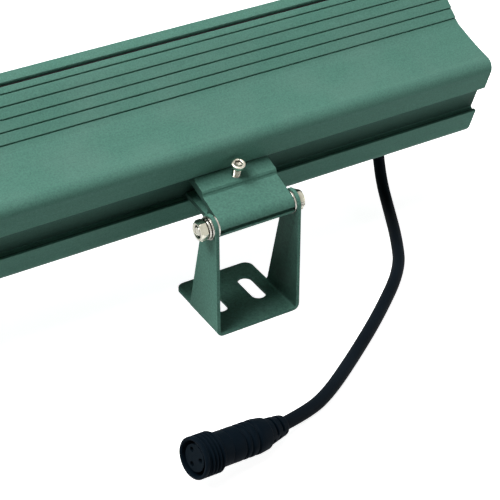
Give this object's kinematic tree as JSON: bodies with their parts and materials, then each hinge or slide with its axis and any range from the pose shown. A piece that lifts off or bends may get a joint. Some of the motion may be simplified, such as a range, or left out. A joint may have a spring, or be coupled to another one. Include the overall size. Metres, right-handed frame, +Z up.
{
  "type": "outdoor wall washer light",
  "caption": "Linear LED wall washer: ribbed extruded housing on swivel clamp brackets that slide along it, with slotted feet and a short lead ending in a threaded waterproof plug.",
  "frame": {"origin": "middle of the right-hand foot's underside, on the surface that the feet are bolted to", "axes": "+X along the lamp towards its cable end, +Y the way the light goes, +Z up off the mounting surface"},
  "size_m": [1, 0.1688, 0.109],
  "materials": {
    "coated_aluminium": "satin powder coat",
    "coated_steel": "satin powder coat",
    "end_plate": "satin powder coat",
    "stainless": "bright",
    "silicone": "matte",
    "glass": "clear",
    "led_board": "white solder mask",
    "led_phosphor": "gloss",
    "lens": "clear",
    "driver": "anodised",
    "black_plastic": "matte",
    "cable": "matte",
    "soft_black": "matte"
  },
  "bodies": {
    "right_foot": {"yoke_right": "coated_steel", "pivot_bolt_right": "stainless", "pivot_nut_right": "stainless", "spring_washer_right": "stainless", "flat_washers_right": "stainless"},
    "right_clamp": {"clamp_arm_right": "coated_aluminium", "clamp_screw_right": "stainless"},
    "lamp": {"housing": "coated_aluminium", "end_plate_right": "end_plate", "end_gasket_right": "silicone", "end_screws_right": "stainless", "end_plate_left": "end_plate", "end_gasket_left": "silicone", "end_screws_left": "stainless", "glass_strip_top": "coated_aluminium", "glass_strip_bottom": "coated_aluminium", "seam_seal_top": "silicone", "seam_seal_bottom": "silicone", "front_glass": "glass", "glass_seal": "silicone", "led_board": "led_board", "led_chips": "led_phosphor", "lens_bar": "lens", "driver": "driver", "cable_gland": "black_plastic", "gland_nut": "black_plastic", "cable": "cable", "strain_relief": "soft_black", "plug_grip": "soft_black", "plug_shell": "black_plastic", "plug_insert": "black_plastic"},
    "left_clamp": {"clamp_arm_left": "coated_aluminium", "clamp_screw_left": "stainless"},
    "left_foot": {"yoke_left": "coated_steel", "pivot_bolt_left": "stainless", "pivot_nut_left": "stainless", "spring_washer_left": "stainless", "flat_washers_left": "stainless"}
  },
  "joints": [
    {"name": "lamp_tilt", "type": "hinge", "parent": "right_foot", "child": "right_clamp", "pos_m": [0, -0.0145, 0.052], "axis": [1, 0, 0], "range_deg": [-38, 160]},
    {"name": "lamp_slide", "type": "slide", "parent": "right_clamp", "child": "lamp", "axis": [1, 0, 0], "range_m": [-0.045, 0.3]},
    {"name": "left_clamp_slide", "type": "slide", "parent": "lamp", "child": "left_clamp", "axis": [1, 0, 0], "range_m": [-0.1, 0.3]},
    {"name": "left_foot_tilt", "type": "hinge", "parent": "left_clamp", "child": "left_foot", "pos_m": [-0.74, -0.0145, 0.052], "axis": [1, 0, 0], "range_deg": [-160, 38]}
  ],
  "couplings": [
    {"joint": "left_foot_tilt", "follows": "lamp_tilt", "ratio": -1}
  ]
}
